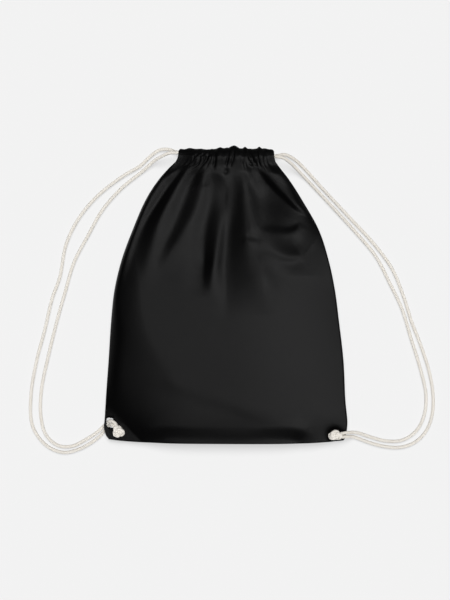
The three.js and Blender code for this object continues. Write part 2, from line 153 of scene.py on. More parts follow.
# Cords. Two round braided cotton cords of natural colour. Each starts at a bottom corner's knot, runs up
# beside the bag, through the back casing, round at its far end, back through the front casing and down
# beside the bag to the same knot, so each side has a pair of strands for the shoulders.
CORD_DIAMETER = 0.005
CORD_SIDES = 32
CORD_STEP = 0.0008
BRAID_YARNS = 6
BRAID_TURN = 0.019
BRAID_DEPTH = 0.00028
CORD_FLOOR = 0.0026
BACK_TUNNEL_Z = 0.0065
FRONT_TUNNEL_Z = 0.0265
TURN_RADIUS = 0.010
TURN_STEPS = 6
SPAN_STEPS = 24
# Cord colour by braid height: the yarn's own cream on top, and painted shade, darker and browner, low
# between the yarns.
YARN_COLOUR_AND_PAINTED_GAP_SHADE = ((0.15, (0.66, 0.62, 0.56, 1.0)), (0.75, (0.74, 0.715, 0.675, 1.0)))
BLOTCH_TINT = (0.96, 0.94, 0.90, 1.0)
BLOTCH_SCALE = 60.0
FIBRE_SCALE = 1800.0
FIBRE_DETAIL = 3.0
FIBRE_BUMP = 0.20
FIBRE_HEIGHT = 0.0003
CORD_ROUGHNESS = 0.95
CORD_GLOSS = 0.15


def half_turn(start, end, reach):
    """Points of a half circle that bulges sideways by reach, from a point up to one above it."""
    angle = np.linspace(0.0, np.pi, TURN_STEPS + 1)[:, None]
    share = np.linspace(0.0, 1.0, TURN_STEPS + 1)[:, None]
    start, end = np.array(start), np.array(end)
    level = start + (end - start) * np.array((0.0, 1.0, 0.0)) * share
    rise = (end - start) * np.array((0.0, 0.0, 1.0)) * (1 - np.cos(angle)) / 2
    return level + rise + np.array((reach, 0.0, 0.0)) * np.sin(angle)


ROUTE_LEFT = np.concatenate([
    np.array([
        (-0.1648, -0.2024, 0.0146), (-0.1680, -0.1982, 0.0145), (-0.1714, -0.1956, 0.0126),
        (-0.1742, -0.1947, 0.0088), (-0.1770, -0.1963, 0.0048), (-0.1814, -0.2008, 0.0028),
        (-0.1910, -0.2120, CORD_FLOOR), (-0.2050, -0.2230, CORD_FLOOR), (-0.2240, -0.2330, CORD_FLOOR),
        (-0.2460, -0.2380, CORD_FLOOR), (-0.2680, -0.2310, CORD_FLOOR), (-0.2860, -0.2140, CORD_FLOOR),
        (-0.2960, -0.1920, CORD_FLOOR), (-0.2970, -0.1500, CORD_FLOOR), (-0.2880, -0.0960, CORD_FLOOR),
        (-0.2760, -0.0510, CORD_FLOOR), (-0.2650, -0.0040, CORD_FLOOR), (-0.2530, 0.0300, CORD_FLOOR),
        (-0.2430, 0.0810, CORD_FLOOR), (-0.2230, 0.1210, CORD_FLOOR), (-0.1940, 0.1550, CORD_FLOOR),
        (-0.1550, 0.1850, CORD_FLOOR), (-0.1310, 0.1990, CORD_FLOOR), (-0.1150, 0.2140, CORD_FLOOR),
        (-0.1010, 0.2235, 0.0032), (-0.0870, 0.2245, 0.0044), (-0.0720, 0.2197, BACK_TUNNEL_Z),
    ]),
    half_turn((0.0570, 0.2197, BACK_TUNNEL_Z), (0.0570, 0.2172, FRONT_TUNNEL_Z), TURN_RADIUS),
    np.array([
        (-0.0720, 0.2172, FRONT_TUNNEL_Z), (-0.0840, 0.2170, 0.0245), (-0.0970, 0.2125, 0.0170),
        (-0.1100, 0.2055, 0.0086), (-0.1250, 0.1925, 0.0032), (-0.1580, 0.1660, CORD_FLOOR),
        (-0.1880, 0.1320, CORD_FLOOR), (-0.2100, 0.0930, CORD_FLOOR), (-0.2310, 0.0530, CORD_FLOOR),
        (-0.2440, 0.0100, CORD_FLOOR), (-0.2570, -0.0360, CORD_FLOOR), (-0.2720, -0.0970, CORD_FLOOR),
        (-0.2810, -0.1420, CORD_FLOOR), (-0.2820, -0.1820, CORD_FLOOR), (-0.2740, -0.2110, CORD_FLOOR),
        (-0.2560, -0.2270, CORD_FLOOR), (-0.2350, -0.2285, CORD_FLOOR), (-0.2130, -0.2180, CORD_FLOOR),
        (-0.1960, -0.2070, CORD_FLOOR), (-0.1844, -0.1962, 0.0028), (-0.1792, -0.1912, 0.0047),
        (-0.1756, -0.1893, 0.0088), (-0.1712, -0.1899, 0.0130), (-0.1674, -0.1926, 0.0156),
        (-0.1652, -0.1970, 0.0176), (-0.1646, -0.2014, 0.0184),
    ]),
])
ROUTE_RIGHT = np.concatenate([
    np.array([
        (0.1705, -0.2116, 0.0140), (0.1765, -0.2132, 0.0140), (0.1820, -0.2130, 0.0134),
        (0.1875, -0.2132, 0.0096), (0.1930, -0.2136, 0.0046), (0.2000, -0.2156, CORD_FLOOR),
        (0.2200, -0.2230, CORD_FLOOR), (0.2440, -0.2290, CORD_FLOOR), (0.2670, -0.2300, CORD_FLOOR),
        (0.2880, -0.2230, CORD_FLOOR), (0.3050, -0.2070, CORD_FLOOR), (0.3150, -0.1830, CORD_FLOOR),
        (0.3170, -0.1520, CORD_FLOOR), (0.3110, -0.1150, CORD_FLOOR), (0.2980, -0.0740, CORD_FLOOR),
        (0.2840, -0.0380, CORD_FLOOR), (0.2720, 0.0000, CORD_FLOOR), (0.2540, 0.0430, CORD_FLOOR),
        (0.2270, 0.0800, CORD_FLOOR), (0.1900, 0.1200, CORD_FLOOR), (0.1480, 0.1650, CORD_FLOOR),
        (0.1170, 0.1990, CORD_FLOOR), (0.1030, 0.2110, 0.0032), (0.0900, 0.2165, 0.0046),
        (0.0750, 0.2141, BACK_TUNNEL_Z),
    ]),
    half_turn((-0.0540, 0.2141, BACK_TUNNEL_Z), (-0.0540, 0.2116, FRONT_TUNNEL_Z), -TURN_RADIUS),
    np.array([
        (0.0750, 0.2116, FRONT_TUNNEL_Z), (0.0870, 0.2095, 0.0242), (0.0980, 0.2030, 0.0175),
        (0.1100, 0.1925, 0.0088), (0.1230, 0.1795, 0.0032), (0.1620, 0.1380, CORD_FLOOR),
        (0.1970, 0.1000, CORD_FLOOR), (0.2290, 0.0620, CORD_FLOOR), (0.2510, 0.0200, CORD_FLOOR),
        (0.2690, -0.0180, CORD_FLOOR), (0.2830, -0.0630, CORD_FLOOR), (0.2980, -0.1120, CORD_FLOOR),
        (0.3060, -0.1500, CORD_FLOOR), (0.3030, -0.1820, CORD_FLOOR), (0.2910, -0.2050, CORD_FLOOR),
        (0.2700, -0.2190, CORD_FLOOR), (0.2460, -0.2205, CORD_FLOOR), (0.2220, -0.2145, CORD_FLOOR),
        (0.2030, -0.2082, CORD_FLOOR), (0.1940, -0.2070, 0.0046), (0.1885, -0.2070, 0.0096),
        (0.1825, -0.2070, 0.0134), (0.1770, -0.2078, 0.0154), (0.1705, -0.2094, 0.0188),
    ]),
])


def smooth_line(points, step):
    """Even points along a smooth line: each span is a cubic whose end slopes are the chords to the
    points on either side, weighed by the root of their distance, then resampled by arc length."""
    ends = np.concatenate([2 * points[:1] - points[1:2], points, 2 * points[-1:] - points[-2:-1]])
    gaps = np.sqrt(np.linalg.norm(np.diff(ends, axis=0), axis=1))
    slopes = np.diff(ends, axis=0) / gaps[:, None]
    before, after = gaps[:-1, None], gaps[1:, None]
    tangents = (slopes[:-1] * after + slopes[1:] * before) / (before + after)
    span = gaps[1:-1, None, None]
    s = np.linspace(0.0, 1.0, SPAN_STEPS, endpoint=False)[None, :, None]
    start, end = points[:-1, None], points[1:, None]
    line = (
        start * (1 + 2 * s) * (1 - s) ** 2
        + end * s**2 * (3 - 2 * s)
        + span * tangents[:-1, None] * s * (1 - s) ** 2
        + span * tangents[1:, None] * s**2 * (s - 1)
    ).reshape(-1, points.shape[1])
    line = np.concatenate([line, points[-1:]])
    arc = np.concatenate([[0.0], np.cumsum(np.linalg.norm(np.diff(line, axis=0), axis=1))])
    even = np.linspace(0.0, arc[-1], int(round(arc[-1] / step)) + 1)
    return np.stack([np.interp(even, arc, column) for column in line.T], axis=1), even


def line_frame(line, lean):
    """Two directions square to a line: the side is the line's heading crossed with the upright, which
    leans over where the line itself stands upright, and the crest is square to both."""
    heading = np.gradient(line, axis=0)
    heading /= np.linalg.norm(heading, axis=1, keepdims=True)
    upright = np.array((0.0, 0.0, 1.0)) + lean * heading[:, 2:] ** 2
    side = np.cross(heading, upright)
    side /= np.linalg.norm(side, axis=1, keepdims=True)
    return side, np.cross(side, heading)


def braid_relief(turn, along):
    """Height from 0 to 1 of a plain braid: two families of yarns wind opposite ways round the cord, and
    at each crossing one of them goes over the other, by turns."""
    first = BRAID_YARNS * (turn / (2 * np.pi) - along / BRAID_TURN)
    second = BRAID_YARNS * (turn / (2 * np.pi) + along / BRAID_TURN)
    over = 1 - 2 * np.mod(np.round(first) + np.round(second), 2)
    across_first = np.cos(np.pi * (first - np.round(first)))
    across_second = np.cos(np.pi * (second - np.round(second)))
    top = 0.5 * across_first + 0.5 * over * across_second
    bottom = 0.5 * across_second - 0.5 * over * across_first
    return np.maximum(top, bottom)


def tube_faces(rings, sides):
    """Quads of a tube of rings, then one many-sided cap at each end, all facing outwards."""
    ring, side = np.meshgrid(np.arange(rings - 1), np.arange(sides), indexing="ij")
    corner = ring * sides + side
    beside = ring * sides + (side + 1) % sides
    quads = np.stack([corner, beside, beside + sides, corner + sides], axis=-1).reshape(-1, 4)
    last = (rings - 1) * sides
    return quads.tolist() + [list(range(sides))[::-1], list(range(last, last + sides))]


def corner_uv(made, uv, name):
    """Gives each face corner the map point of its vertex."""
    layer = made.data.uv_layers.new(name=name)
    vertex = np.empty(len(made.data.loops), dtype=np.int32)
    made.data.loops.foreach_get("vertex_index", vertex)
    layer.data.foreach_set("uv", uv.reshape(-1, 2)[vertex].ravel())


def braided_cord(name, line, along, lean):
    """A round braid carried along a line: each ring is a circle in the line's own frame, whose radius
    falls by the braid's depth between the yarns. The mesh keeps a map of the cord unrolled flat, and the
    braid's height at each point."""
    side, crest = line_frame(line, lean)
    turn = np.linspace(0.0, 2 * np.pi, CORD_SIDES, endpoint=False)[None, :]
    relief = braid_relief(turn, along[:, None])
    radius = (CORD_DIAMETER / 2 - BRAID_DEPTH * (1 - relief))[..., None]
    ring = np.cos(turn)[..., None] * side[:, None] + np.sin(turn)[..., None] * crest[:, None]
    made = new_object(name, line[:, None] + radius * ring, tube_faces(len(line), CORD_SIDES))
    wrap = np.stack(np.broadcast_arrays(turn * CORD_DIAMETER / 2, along[:, None]), axis=-1)
    corner_uv(made, wrap, "braid")
    # The braid's height is kept for the cord's painted shade between the yarns.
    height = made.data.attributes.new("relief", "FLOAT", "POINT")
    height.data.foreach_set("value", relief.ravel())
    return made


def set_ramp(ramp, shades):
    """Gives the two ends of a colour ramp their places and colours."""
    for end, (position, colour) in zip(ramp.color_ramp.elements, shades):
        end.position = position
        end.color = colour


def natural_cotton():
    """Undyed cotton yarn: cream, with painted shade between the yarns and fine fibres as bump."""
    material, nodes, links, shader = new_finish("natural_cotton")
    relief = nodes.new("ShaderNodeAttribute")
    relief.attribute_name = "relief"
    place = nodes.new("ShaderNodeTexCoord")
    fibre = nodes.new("ShaderNodeTexNoise")
    fibre.inputs["Scale"].default_value = FIBRE_SCALE
    fibre.inputs["Detail"].default_value = FIBRE_DETAIL
    blotch = nodes.new("ShaderNodeTexNoise")
    blotch.inputs["Scale"].default_value = BLOTCH_SCALE
    # Painted shade: the ramp darkens the cord where the braid is low, between the yarns.
    depth = nodes.new("ShaderNodeValToRGB")
    set_ramp(depth, YARN_COLOUR_AND_PAINTED_GAP_SHADE)
    tint = nodes.new("ShaderNodeMixRGB")
    tint.blend_type = "MULTIPLY"
    tint.inputs["Color2"].default_value = BLOTCH_TINT
    bump = nodes.new("ShaderNodeBump")
    bump.inputs["Strength"].default_value = FIBRE_BUMP
    bump.inputs["Distance"].default_value = FIBRE_HEIGHT
    links.new(place.outputs["Object"], fibre.inputs["Vector"])
    links.new(place.outputs["Object"], blotch.inputs["Vector"])
    links.new(relief.outputs["Fac"], depth.inputs["Fac"])
    links.new(blotch.outputs["Fac"], tint.inputs["Fac"])
    links.new(depth.outputs["Color"], tint.inputs["Color1"])
    links.new(tint.outputs["Color"], shader.inputs["Base Color"])
    links.new(fibre.outputs["Fac"], bump.inputs["Height"])
    links.new(bump.outputs["Normal"], shader.inputs["Normal"])
    shader.inputs["Roughness"].default_value = CORD_ROUGHNESS
    shader.inputs["Specular IOR Level"].default_value = CORD_GLOSS
    return material


cord_finish = natural_cotton()
cords = {}
for cord_name, route in (("cord_left", ROUTE_LEFT), ("cord_right", ROUTE_RIGHT)):
    line, along = smooth_line(route, CORD_STEP)
    line[:, 2] = np.maximum(line[:, 2], CORD_FLOOR)
    lean = np.where(line[:, 1:2] < 0, np.array((1.0, 0.0, 0.0)), np.array((0.0, 1.0, 0.0)))
    braid = braided_cord(cord_name + "_braid", line, along, lean)
    braid.data.materials.append(cord_finish)
    cords[cord_name] = braid
    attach(braid, "root")
    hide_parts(cord_name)

# Back panel. A rectangle of thin black cotton, laid flat on the floor, that rises to the side and bottom
# seams and to the drawn mouth. Its top edge is folded over and sewn down as a casing for the cords.
PANEL_WIDTH = 0.37
CLOTH = 0.0012
SEWN_HALF = 0.000875
TUNNEL_HALF = 0.0040
TUNNEL_SHOULDER = 0.0085
CASING_HEIGHT = 0.022
BACK_TOP = 0.2235
BACK_STITCH = BACK_TOP - CASING_HEIGHT
BACK_SEWN_Z = BACK_TUNNEL_Z - SEWN_HALF
FRONT_SEWN_Z = FRONT_TUNNEL_Z + SEWN_HALF
FRONT_SEAM_Z = RIM_HEIGHT + SEWN_HALF
BACK_SEAM_Z = RIM_HEIGHT - SEWN_HALF
BOTTOM = -0.2180
BOTTOM_BOW = 0.0054
BOW_POWER = 4
BOTTOM_TILT = 0.0008
BOW_REACH = 0.08
SEAM_STRIP = 0.006
SEAM_SHARE = 0.012
BACK_RISE = 0.036
BACK_COLUMNS = 120
BACK_ROWS = 110
CASING_STEPS = 3
OUTER_ANGLES = np.radians((0.0, 18.0, 36.0, 54.0, 72.0, 90.0))
FLAP_ANGLES = np.radians((30.0, 60.0, 90.0))
BACK_RUFFLES = 10
RUFFLE_SWING = 0.25
RUFFLE_WAVES = 7
RUFFLE_START = 1
BACK_RUFFLE = {"outer": 0.0017, "fold": 0.0012, "flap": 0.0010, "stitch": 0.0016, "run": 0.034}
# The casings' top edge: place across the bag, rise above the plain top, and length of the roll below it.
TOP_COLUMNS = ("place", "rise", "roll")
TOP_LINE = dict(zip(TOP_COLUMNS, np.array([
    (-0.0720, -0.0024, 0.0098), (-0.0690, 0.0002, 0.0098), (-0.0600, 0.0006, 0.0098),
    (-0.0515, 0.0016, 0.0105), (-0.0430, 0.0002, 0.0128), (-0.0362, 0.0006, 0.0112),
    (-0.0286, -0.0008, 0.0135), (-0.0210, 0.0006, 0.0112), (-0.0140, 0.0006, 0.0140),
    (-0.0084, 0.0028, 0.0112), (-0.0030, 0.0012, 0.0135), (0.0050, 0.0022, 0.0110),
    (0.0090, 0.0044, 0.0135), (0.0129, 0.0056, 0.0112), (0.0170, 0.0038, 0.0130),
    (0.0210, 0.0010, 0.0105), (0.0260, 0.0012, 0.0135), (0.0297, 0.0038, 0.0110),
    (0.0335, 0.0010, 0.0130), (0.0410, 0.0001, 0.0155), (0.0470, 0.0008, 0.0125),
    (0.0510, 0.0036, 0.0105), (0.0550, 0.0008, 0.0125), (0.0620, 0.0010, 0.0118),
    (0.0690, 0.0000, 0.0102), (0.0735, -0.0024, 0.0098),
]).T))
# Sections up the bag: the left and right edges, and the heights of the two cloths at those edges.
SECTION_COLUMNS = ("station", "left", "right", "front", "back")
SECTIONS = dict(zip(SECTION_COLUMNS, np.array([
    (BOTTOM, -0.1775, 0.1795, FRONT_SEAM_Z, BACK_SEAM_Z),
    (-0.212, -0.1820, 0.1825, FRONT_SEAM_Z, BACK_SEAM_Z),
    (-0.200, -0.1850, 0.1845, FRONT_SEAM_Z, BACK_SEAM_Z),
    (-0.188, -0.1840, 0.1850, FRONT_SEAM_Z, BACK_SEAM_Z),
    (-0.158, -0.1820, 0.1820, FRONT_SEAM_Z, BACK_SEAM_Z),
    (-0.097, -0.1775, 0.1790, FRONT_SEAM_Z, BACK_SEAM_Z),
    (-0.036, -0.1735, 0.1720, FRONT_SEAM_Z, BACK_SEAM_Z),
    (0.010, -0.1685, 0.1660, FRONT_SEAM_Z, BACK_SEAM_Z),
    (0.056, -0.1575, 0.1560, FRONT_SEAM_Z, BACK_SEAM_Z),
    (0.101, -0.1410, 0.1410, FRONT_SEAM_Z, BACK_SEAM_Z),
    (0.147, -0.1210, 0.1150, 0.0093, BACK_SEAM_Z),
    (0.177, -0.1010, 0.0955, 0.0160, BACK_SEAM_Z),
    (0.199, -0.0800, 0.0780, FRONT_SEWN_Z, BACK_SEWN_Z),
    (0.206, -0.0735, 0.0745, FRONT_SEWN_Z, BACK_SEWN_Z),
    (0.226, -0.0695, 0.0725, FRONT_SEWN_Z, BACK_SEWN_Z),
]).T))
SLOT_LEFT = {"ends": ((-0.1760, -0.1896), (-0.1752, -0.1954)), "radius": 0.0056}
HOLE_RIGHT = {"ends": ((0.1669, -0.2105), (0.1671, -0.2105)), "radius": 0.0034}
RIM_PULL = 0.0010
RIM_SLACK = 1e-6
TINY_LENGTH = 1e-9
DYE_SHADES = ((0.3, (0.0006, 0.0006, 0.0007, 1.0)), (0.7, (0.0010, 0.0010, 0.0011, 1.0)))
DYE_SCALE = 22.0
DYE_DETAIL = 4.0
THREAD_SCALE = 700.0
THREAD_WAVER = 0.4
WEAVE_BUMP = 0.12
WEAVE_HEIGHT = 0.0002
CLOTH_ROUGHNESS = 0.45
CLOTH_GLOSS = 0.10
SHEEN = 0.10
SHEEN_ROUGHNESS = 0.30


def smoothstep(low, high, value):
    """0 below low, 1 above high, and a smooth rise between."""
    s = np.clip((value - low) / (high - low), 0.0, 1.0)
    return s * s * (3 - 2 * s)


def table_at(table, name, station):
    """A column of a table at any station: cubics through the rows, with the slopes of the chords between
    the rows on either side."""
    rows, values = table["station"], table[name]
    count = np.arange(len(rows))
    before, after = np.maximum(count - 1, 0), np.minimum(count + 1, len(rows) - 1)
    slopes = (values[after] - values[before]) / (rows[after] - rows[before])
    k = np.clip(np.searchsorted(rows, station) - 1, 0, len(rows) - 2)
    span = rows[k + 1] - rows[k]
    s = np.clip((station - rows[k]) / span, 0.0, 1.0)
    ends = values[k] + (values[k + 1] - values[k]) * s * s * (3 - 2 * s)
    return ends + span * (slopes[k] * s * (1 - s) ** 2 - slopes[k + 1] * s * s * (1 - s))


def across(u, station):
    """Where a share u of the half width, -1 left and 1 right, lies on the section."""
    left, right = table_at(SECTIONS, "left", station), table_at(SECTIONS, "right", station)
    return left + (right - left) * (u + 1) / 2


def sagged(station, u):
    """The bottom edge sags in its middle and tilts, and the rows above follow it less and less."""
    follow = 1 - np.clip((station - BOTTOM) / BOW_REACH, 0.0, 1.0)
    return station - (BOTTOM_BOW * (1 - np.abs(u) ** BOW_POWER) + BOTTOM_TILT * u) * follow


def smooth_rows(control, steps):
    """Rows between control rows: cubics whose slopes are half the step over both neighbours."""
    ends = np.concatenate([2 * control[:1] - control[1:2], control, 2 * control[-1:] - control[-2:-1]])
    slopes = (ends[2:] - ends[:-2]) / 2
    s = (np.arange(steps) / steps).reshape(1, steps, 1, 1)
    rows = (
        control[:-1, None] * (1 + 2 * s) * (1 - s) ** 2
        + control[1:, None] * s**2 * (3 - 2 * s)
        + slopes[:-1, None] * s * (1 - s) ** 2
        + slopes[1:, None] * s**2 * (s - 1)
    )
    return np.concatenate([rows.reshape(-1, *control.shape[1:]), control[-1:]])


def casing_rows(u, lift_at, top, ruffle):
    """Height and outward place of the casing's rows: from the stitch line up its outer layer, which rolls
    back to the top in a long arc, then round a tighter arc to the flap and down to the stitch line. The
    outer layer, the top and the flap move outwards by their share of the ruffles."""
    stitch, middle = top - CASING_HEIGHT, top - TUNNEL_HALF
    x = across(u, top)
    roll = np.interp(x, TOP_LINE["place"], TOP_LINE["roll"])
    edge = np.interp(x, TOP_LINE["place"], TOP_LINE["rise"])
    edge = edge + ruffle["fold"] * lift_at(u, top)
    heights = [np.full_like(u, stitch)]
    places = [SEWN_HALF + ruffle["stitch"] * lift_at(u, stitch)]
    for angle in OUTER_ANGLES:
        height = top - roll * (1 - np.sin(angle))
        heights.append(height + edge * np.sin(angle) ** 2)
        places.append((TUNNEL_HALF + ruffle["outer"] * lift_at(u, height)) * np.cos(angle))
    for angle in FLAP_ANGLES:
        height = middle + TUNNEL_HALF * np.cos(angle)
        heights.append(height + edge * np.cos(angle) ** 2)
        places.append(-(TUNNEL_HALF + ruffle["flap"] * lift_at(u, height)) * np.sin(angle))
    heights += [np.full_like(u, middle - TUNNEL_SHOULDER), np.full_like(u, stitch)]
    places.append(-TUNNEL_HALF - ruffle["flap"] * lift_at(u, middle))
    places.append(-SEWN_HALF + ruffle["stitch"] * lift_at(u, stitch))
    return smooth_rows(np.stack([np.array(heights), np.array(places)], axis=-1), CASING_STEPS)


def grid_faces(rows, columns, turned):
    """Quads of a grid of rows and columns, with the winding turned for a sheet that faces down."""
    row, column = np.meshgrid(np.arange(rows - 1), np.arange(columns - 1), indexing="ij")
    corner = (row * columns + column).reshape(-1)
    order = (corner, corner + 1, corner + columns + 1, corner + columns)
    return np.stack(order[::-1] if turned else order, axis=-1)


def away_from(place, ends):
    """The way from the nearest point of a straight line between two ends to each place."""
    start, end = np.array(ends)
    run = end - start
    share = np.clip((place - start) @ run / (run @ run), 0.0, 1.0)
    return place - start - share[..., None] * run


def cut_opening(points, faces, opening):
    """Opens a slot with round ends: points close to its rim move on to the rim, and the faces inside it
    go. The distance to the rim is that to the slot's middle line, less its radius."""
    away = away_from(points[:, :2], opening["ends"])
    length = np.linalg.norm(away, axis=1)
    rim = length - opening["radius"]
    near = np.abs(rim) < RIM_PULL
    points = points.copy()
    points[near, :2] -= (away / np.maximum(length, TINY_LENGTH)[:, None] * rim[:, None])[near]
    rim = np.where(near, 0.0, rim)
    return points, faces[rim[faces].mean(axis=1) > -RIM_SLACK]


def black_cotton():
    """Dyed plain-weave cotton: near black, with threads in two directions on the cloth's own map as bump,
    a slow change of shade, a soft broad gloss and a little sheen."""
    material, nodes, links, shader = new_finish("black_cotton")
    cloth_map = nodes.new("ShaderNodeUVMap")
    cloth_map.uv_map = "cloth"
    weave = []
    for direction in ("X", "Y"):
        threads = nodes.new("ShaderNodeTexWave")
        threads.bands_direction = direction
        threads.inputs["Scale"].default_value = THREAD_SCALE
        threads.inputs["Distortion"].default_value = THREAD_WAVER
        links.new(cloth_map.outputs["UV"], threads.inputs["Vector"])
        weave.append(threads)
    crossing = nodes.new("ShaderNodeMath")
    crossing.operation = "ADD"
    links.new(weave[0].outputs["Fac"], crossing.inputs[0])
    links.new(weave[1].outputs["Fac"], crossing.inputs[1])
    bump = nodes.new("ShaderNodeBump")
    bump.inputs["Strength"].default_value = WEAVE_BUMP
    bump.inputs["Distance"].default_value = WEAVE_HEIGHT
    links.new(crossing.outputs["Value"], bump.inputs["Height"])
    links.new(bump.outputs["Normal"], shader.inputs["Normal"])
    shade = nodes.new("ShaderNodeTexNoise")
    shade.inputs["Scale"].default_value = DYE_SCALE
    shade.inputs["Detail"].default_value = DYE_DETAIL
    links.new(cloth_map.outputs["UV"], shade.inputs["Vector"])
    dye = nodes.new("ShaderNodeValToRGB")
    set_ramp(dye, DYE_SHADES)
    links.new(shade.outputs["Fac"], dye.inputs["Fac"])
    links.new(dye.outputs["Color"], shader.inputs["Base Color"])
    shader.inputs["Roughness"].default_value = CLOTH_ROUGHNESS
    shader.inputs["Specular IOR Level"].default_value = CLOTH_GLOSS
    shader.inputs["Sheen Weight"].default_value = SHEEN
    shader.inputs["Sheen Roughness"].default_value = SHEEN_ROUGHNESS
    return material


cloth_finish = black_cotton()


def cloth_panel(name, grid, cloth_map, facing_down, openings):
    """A sewn panel: the grid of its middle surface, opened for the cord and given the cloth's
    thickness to both sides."""
    rows, columns = grid.shape[:2]
    points, faces = grid.reshape(-1, 3), grid_faces(rows, columns, facing_down)
    for opening in openings:
        points, faces = cut_opening(points, faces, opening)
    made = new_object(name, points, faces.tolist())
    corner_uv(made, cloth_map, "cloth")
    wall = made.modifiers.new("wall", "SOLIDIFY")
    wall.thickness = CLOTH
    wall.offset = 0.0
    made.data.materials.append(cloth_finish)
    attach(made, "root")
    return made


def back_gather(u, _):
    """Even gathers of the back casing, the same at every height: waves from 0 in a valley to 1 on a ridge,
    whose size swings slowly from side to side."""
    size = 1 - RUFFLE_SWING + RUFFLE_SWING * np.sin(RUFFLE_WAVES * u + RUFFLE_START)
    return (1 + np.cos(np.pi * BACK_RUFFLES * (u + 1))) / 2 * size


def back_surface(u, station):
    """The back: flat on the floor, rising to the seams at its sides and bottom and to the casing."""
    width = across(1.0, station) - across(-1.0, station)
    from_side = (1 - SEAM_SHARE - np.abs(u)) * width / 2
    from_bottom = station - BOTTOM - SEAM_STRIP
    on_floor = smoothstep(0.0, BACK_RISE, from_side) * smoothstep(0.0, BACK_RISE, from_bottom)
    to_casing = smoothstep(BACK_STITCH - BACK_RUFFLE["run"], BACK_STITCH, station)
    edge = table_at(SECTIONS, "back", station)
    low = edge + (CLOTH / 2 - edge) * on_floor
    fade = np.clip(1 - (BACK_STITCH - station) / BACK_RUFFLE["run"], 0.0, 1.0) ** 2
    z = low + (BACK_SEWN_Z - low) * to_casing - BACK_RUFFLE["stitch"] * back_gather(u, station) * fade
    return np.stack([across(u, station), sagged(station, u), z], axis=-1)


def panel_grid(surface, stations, u, lift_at, top, ruffle, tunnel_z, outward):
    """The whole middle surface of a panel, its rows up the face and then over the casing, and the
    cloth's own map of it in metres of flat cloth."""
    face = surface(*np.broadcast_arrays(u[None, :], stations[:, None]))
    profile = casing_rows(u, lift_at, top, ruffle)[1:]
    y = profile[..., 0]
    casing = np.stack([across(u[None, :], y), y, tunnel_z + outward * profile[..., 1]], axis=-1)
    grid = np.concatenate([face, casing])
    middle = grid[:, len(u) // 2]
    climb = np.concatenate([[0.0], np.cumsum(np.linalg.norm(np.diff(middle, axis=0), axis=1))])
    flat = np.stack(np.broadcast_arrays(u[None, :] * PANEL_WIDTH / 2, climb[:, None]), axis=-1)
    return grid, flat


back_u = np.linspace(-1.0, 1.0, BACK_COLUMNS + 1)
back_stations = np.linspace(BOTTOM, BACK_STITCH, BACK_ROWS + 1)
back_grid, back_map = panel_grid(
    back_surface, back_stations, back_u, back_gather, BACK_TOP, BACK_RUFFLE, BACK_TUNNEL_Z, -1)
back_panel = cloth_panel("back_panel_cloth", back_grid, back_map, True, (SLOT_LEFT, HOLE_RIGHT))
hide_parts("back_panel")

# Front panel. A second rectangle of the same cotton, sewn to the back along its sides and bottom. It
# stands up over the hollow of the bag, and the drawn cords gather its casing into pleats, from which
# folds run down the face.
FRONT_TOP = 0.2210
FRONT_STITCH = FRONT_TOP - CASING_HEIGHT
FRONT_COLUMNS = 258
SEAM_COLUMNS = (0.9965, 0.9990)
# The crown up the face: its height, and for each side the ridge where its fall starts, the share of the
# fall that is a long slope, and the powers of that slope and of the roll at the seam.
CROWN_COLUMNS = (
    "station", "height", "left_ridge", "left_share", "left_slope", "left_roll",
    "right_ridge", "right_share", "right_slope",
)
CROWNS = dict(zip(CROWN_COLUMNS, np.array([
    (BOTTOM, 0.0225, -0.30, 0.55, 2.0, 18, 0.05, 0.84, 2.3),
    (-0.2150, 0.0228, -0.30, 0.55, 2.0, 18, 0.05, 0.84, 2.3),
    (-0.2100, 0.0236, -0.29, 0.55, 2.0, 18, 0.05, 0.84, 2.3),
    (-0.2010, 0.0254, -0.28, 0.55, 2.0, 18, 0.05, 0.84, 2.3),
    (-0.1920, 0.0272, -0.27, 0.55, 2.0, 18, 0.05, 0.84, 2.3),
    (-0.1780, 0.0291, -0.26, 0.55, 2.0, 18, 0.05, 0.82, 2.3),
    (-0.1580, 0.0306, -0.28, 0.52, 1.9, 18, 0.05, 0.82, 2.3),
    (-0.1120, 0.0328, -0.46, 0.46, 1.7, 14, 0.05, 0.80, 2.3),
    (-0.0510, 0.0345, -0.67, 0.42, 1.7, 9, 0.05, 0.80, 2.3),
    (0.0100, 0.0345, -0.76, 0.36, 1.6, 20, 0.05, 0.78, 2.3),
    (0.0400, 0.0335, -0.82, 0.22, 1.6, 14, 0.05, 0.64, 2.2),
    (0.0700, 0.0320, -0.88, 0.10, 1.6, 8, 0.10, 0.45, 2.1),
    (0.1010, 0.0300, -0.90, 0.10, 1.6, 6, 0.15, 0.32, 2.0),
    (0.1470, 0.0285, -0.90, 0.10, 1.6, 6, 0.20, 0.22, 1.8),
    (0.1770, 0.0280, -0.90, 0.10, 1.6, 6, 0.20, 0.20, 1.6),
    (FRONT_STITCH, FRONT_SEWN_Z, -0.90, 0.10, 1.6, 6, 0.20, 0.20, 1.6),
]).T))
RIGHT_ROLL = 500
BOTTOM_ROLL = 0.0005
# Heights up the face, each with the number of rows from it to the next.
FRONT_STATIONS = ((BOTTOM, 1), (BOTTOM + BOTTOM_ROLL, 24), (-0.190, 40), (0.010, 84), (FRONT_STITCH, 1))
# Where the knots press the crown down: a line across the corner, the way in from it, and the distances
# over which the cloth lies low and then rises again.
CORNERS = (
    {
        "ends": ((-0.1960, -0.1730), (-0.1350, -0.2370)),
        "inward": (0.72, 0.69),
        "radius": 0.0170,
        "soft": 0.0200,
    },
    {
        "ends": ((0.1670, -0.2110), (0.1900, -0.2225)),
        "inward": (0.43, 0.90),
        "radius": 0.0095,
        "soft": 0.0030,
    },
)
CORNER_SHARE = 0.12
FOLD_END = 24
FOLD_START = 0.016
FRONT_RUFFLE = {"outer": 0.0060, "fold": 0.0012, "flap": 0.0012, "stitch": 0.0068}
PUFF_RUN = 0.062
PUFF_ENDS = {"left": (-0.0770, -0.0390), "right": (0.0790, 0.0560)}
